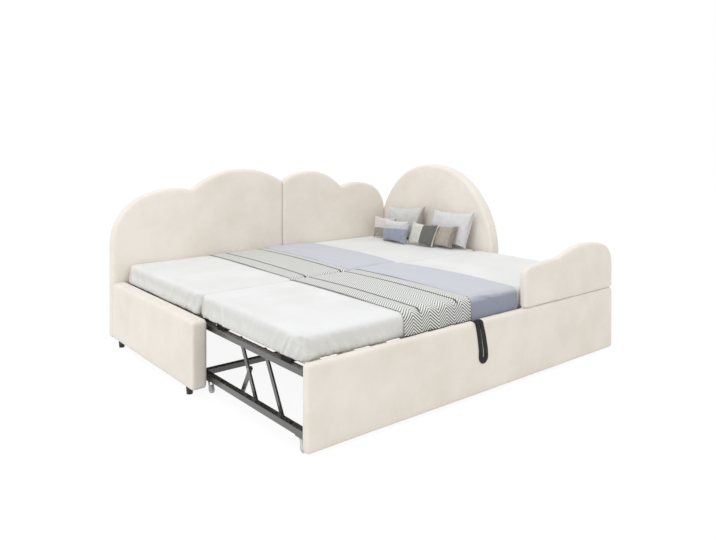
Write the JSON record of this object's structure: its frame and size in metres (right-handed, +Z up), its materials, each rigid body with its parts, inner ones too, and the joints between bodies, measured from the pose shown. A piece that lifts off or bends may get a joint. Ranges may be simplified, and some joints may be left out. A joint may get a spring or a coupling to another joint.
{
  "type": "daybed with pull-out trundle",
  "caption": "Upholstered daybed with arched headboard, cloud-shaped back and a slatted pop-up trundle on casters, with mattresses, throw, blanket and pillows.",
  "frame": {"origin": "middle of the outline on the floor, with the trundle pulled out and raised", "axes": "+X along the bed towards the arched headboard, +Y towards the upholstered back, +Z up"},
  "size_m": [2.097, 1.8674, 0.9659],
  "materials": {
    "velvet": "matte",
    "mattress_cover": "matte",
    "throw_knit": "matte",
    "blanket_blue": "matte",
    "pillow_grey": "matte",
    "pillow_white": "matte",
    "pillow_banded": "matte",
    "pillow_olive": "matte",
    "pillow_blue": "matte",
    "pillow_satin": "satin",
    "pillow_taupe": "matte",
    "slat_wood": "satin",
    "foot_plastic": "matte",
    "black_steel": "satin",
    "bright_steel": "satin",
    "bumper_rubber": "matte",
    "roller_nylon": "satin",
    "strap_webbing": "matte",
    "caster_bracket": "satin",
    "caster_tread": "satin"
  },
  "bodies": {
    "daybed": {"end_panel": "velvet", "back_panel_left": "velvet", "back_panel_right": "velvet", "headboard": "velvet", "panel_feet": "foot_plastic", "daybed_front_rail": "black_steel", "daybed_rear_rail": "black_steel", "frame_brackets": "black_steel", "frame_bolts": "black_steel", "daybed_slats": "slat_wood", "daybed_mattress": "mattress_cover", "daybed_throw": "throw_knit", "daybed_blanket": "blanket_blue", "pillow_large_grey": "pillow_grey", "pillow_large_white": "pillow_white", "pillow_banded": "pillow_banded", "pillow_olive": "pillow_olive", "pillow_blue": "pillow_blue", "pillow_satin": "pillow_satin", "pillow_taupe": "pillow_taupe"},
    "trundle_base": {"trundle_front_panel": "velvet", "guard_rail": "velvet", "guard_plates": "black_steel", "base_rail_left": "black_steel", "base_rail_right": "black_steel", "base_rail_front": "black_steel", "base_rail_rear": "black_steel", "base_brackets": "black_steel", "base_pivot_pins": "bright_steel", "deck_bumpers": "bumper_rubber", "pull_strap": "strap_webbing", "strap_plate": "bright_steel"},
    "short_arms": {"short_arm_left": "black_steel", "short_arm_right": "black_steel"},
    "long_arms": {"long_arm_left": "black_steel", "long_arm_right": "black_steel", "knee_pins": "bright_steel"},
    "deck": {"deck_rail_left": "black_steel", "deck_rail_right": "black_steel", "deck_end_rails": "black_steel", "deck_bearers": "black_steel", "slat_blocks": "foot_plastic", "deck_slats": "slat_wood", "deck_pivot_pins": "bright_steel", "deck_mattress": "mattress_cover", "deck_throw": "throw_knit", "deck_blanket": "blanket_blue"},
    "guide_arms": {"guide_arm_left": "black_steel", "guide_arm_right": "black_steel"},
    "lift_roller_pair": {"lift_rollers": "roller_nylon"},
    "guide_roller_pair": {"guide_rollers": "roller_nylon"},
    "caster_fork_rear_left": {"caster_fork_rear_left": "caster_bracket"},
    "caster_wheel_rear_left": {"caster_wheel_rear_left": "caster_tread"},
    "caster_fork_rear_right": {"caster_fork_rear_right": "caster_bracket"},
    "caster_wheel_rear_right": {"caster_wheel_rear_right": "caster_tread"},
    "caster_fork_front_left": {"caster_fork_front_left": "caster_bracket"},
    "caster_wheel_front_left": {"caster_wheel_front_left": "caster_tread"},
    "caster_fork_front_right": {"caster_fork_front_right": "caster_bracket"},
    "caster_wheel_front_right": {"caster_wheel_front_right": "caster_tread"}
  },
  "joints": [
    {"name": "trundle_roll", "type": "slide", "parent": "daybed", "child": "trundle_base", "axis": [0, -1, 0], "range_m": [0, 0.9]},
    {"name": "deck_lift", "type": "hinge", "parent": "trundle_base", "child": "short_arms", "pos_m": [0, -0.36425, 0.074], "axis": [1, 0, 0], "range_deg": [0, 53.4]},
    {"name": "knee_fold", "type": "hinge", "parent": "short_arms", "child": "long_arms", "pos_m": [0, -0.42925, 0.187], "axis": [1, 0, 0], "range_deg": [-106.9, 0]},
    {"name": "deck_level", "type": "hinge", "parent": "long_arms", "child": "deck", "pos_m": [0, -0.36425, 0.3], "axis": [1, 0, 0], "range_deg": [0, 53.5]},
    {"name": "guide_swing", "type": "hinge", "parent": "deck", "child": "guide_arms", "pos_m": [0, -0.56225, 0.3], "axis": [1, 0, 0], "range_deg": [-53.5, 0]},
    {"name": "lift_roller_spin", "type": "hinge", "parent": "long_arms", "child": "lift_roller_pair", "pos_m": [0, -0.49425, 0.074], "axis": [1, 0, 0], "continuous": true},
    {"name": "guide_roller_spin", "type": "hinge", "parent": "guide_arms", "child": "guide_roller_pair", "pos_m": [0, -0.69225, 0.074], "axis": [1, 0, 0], "continuous": true},
    {"name": "caster_swivel_rear_left", "type": "hinge", "parent": "trundle_base", "child": "caster_fork_rear_left", "pos_m": [-0.9425, -0.11725, 0.05], "axis": [0, 0, 1], "continuous": true},
    {"name": "caster_spin_rear_left", "type": "hinge", "parent": "caster_fork_rear_left", "child": "caster_wheel_rear_left", "pos_m": [-0.9425, -0.12525, 0.018], "axis": [1, 0, 0], "continuous": true},
    {"name": "caster_swivel_rear_right", "type": "hinge", "parent": "trundle_base", "child": "caster_fork_rear_right", "pos_m": [0.9425, -0.11725, 0.05], "axis": [0, 0, 1], "continuous": true},
    {"name": "caster_spin_rear_right", "type": "hinge", "parent": "caster_fork_rear_right", "child": "caster_wheel_rear_right", "pos_m": [0.9425, -0.12525, 0.018], "axis": [1, 0, 0], "continuous": true},
    {"name": "caster_swivel_front_left", "type": "hinge", "parent": "trundle_base", "child": "caster_fork_front_left", "pos_m": [-0.9425, -0.85925, 0.05], "axis": [0, 0, 1], "continuous": true},
    {"name": "caster_spin_front_left", "type": "hinge", "parent": "caster_fork_front_left", "child": "caster_wheel_front_left", "pos_m": [-0.9425, -0.86725, 0.018], "axis": [1, 0, 0], "continuous": true},
    {"name": "caster_swivel_front_right", "type": "hinge", "parent": "trundle_base", "child": "caster_fork_front_right", "pos_m": [0.9425, -0.85925, 0.05], "axis": [0, 0, 1], "continuous": true},
    {"name": "caster_spin_front_right", "type": "hinge", "parent": "caster_fork_front_right", "child": "caster_wheel_front_right", "pos_m": [0.9425, -0.86725, 0.018], "axis": [1, 0, 0], "continuous": true}
  ],
  "couplings": [
    {"joint": "knee_fold", "follows": "deck_lift", "ratio": -2},
    {"joint": "deck_level", "follows": "deck_lift", "ratio": 1},
    {"joint": "guide_swing", "follows": "deck_lift", "ratio": -1}
  ]
}
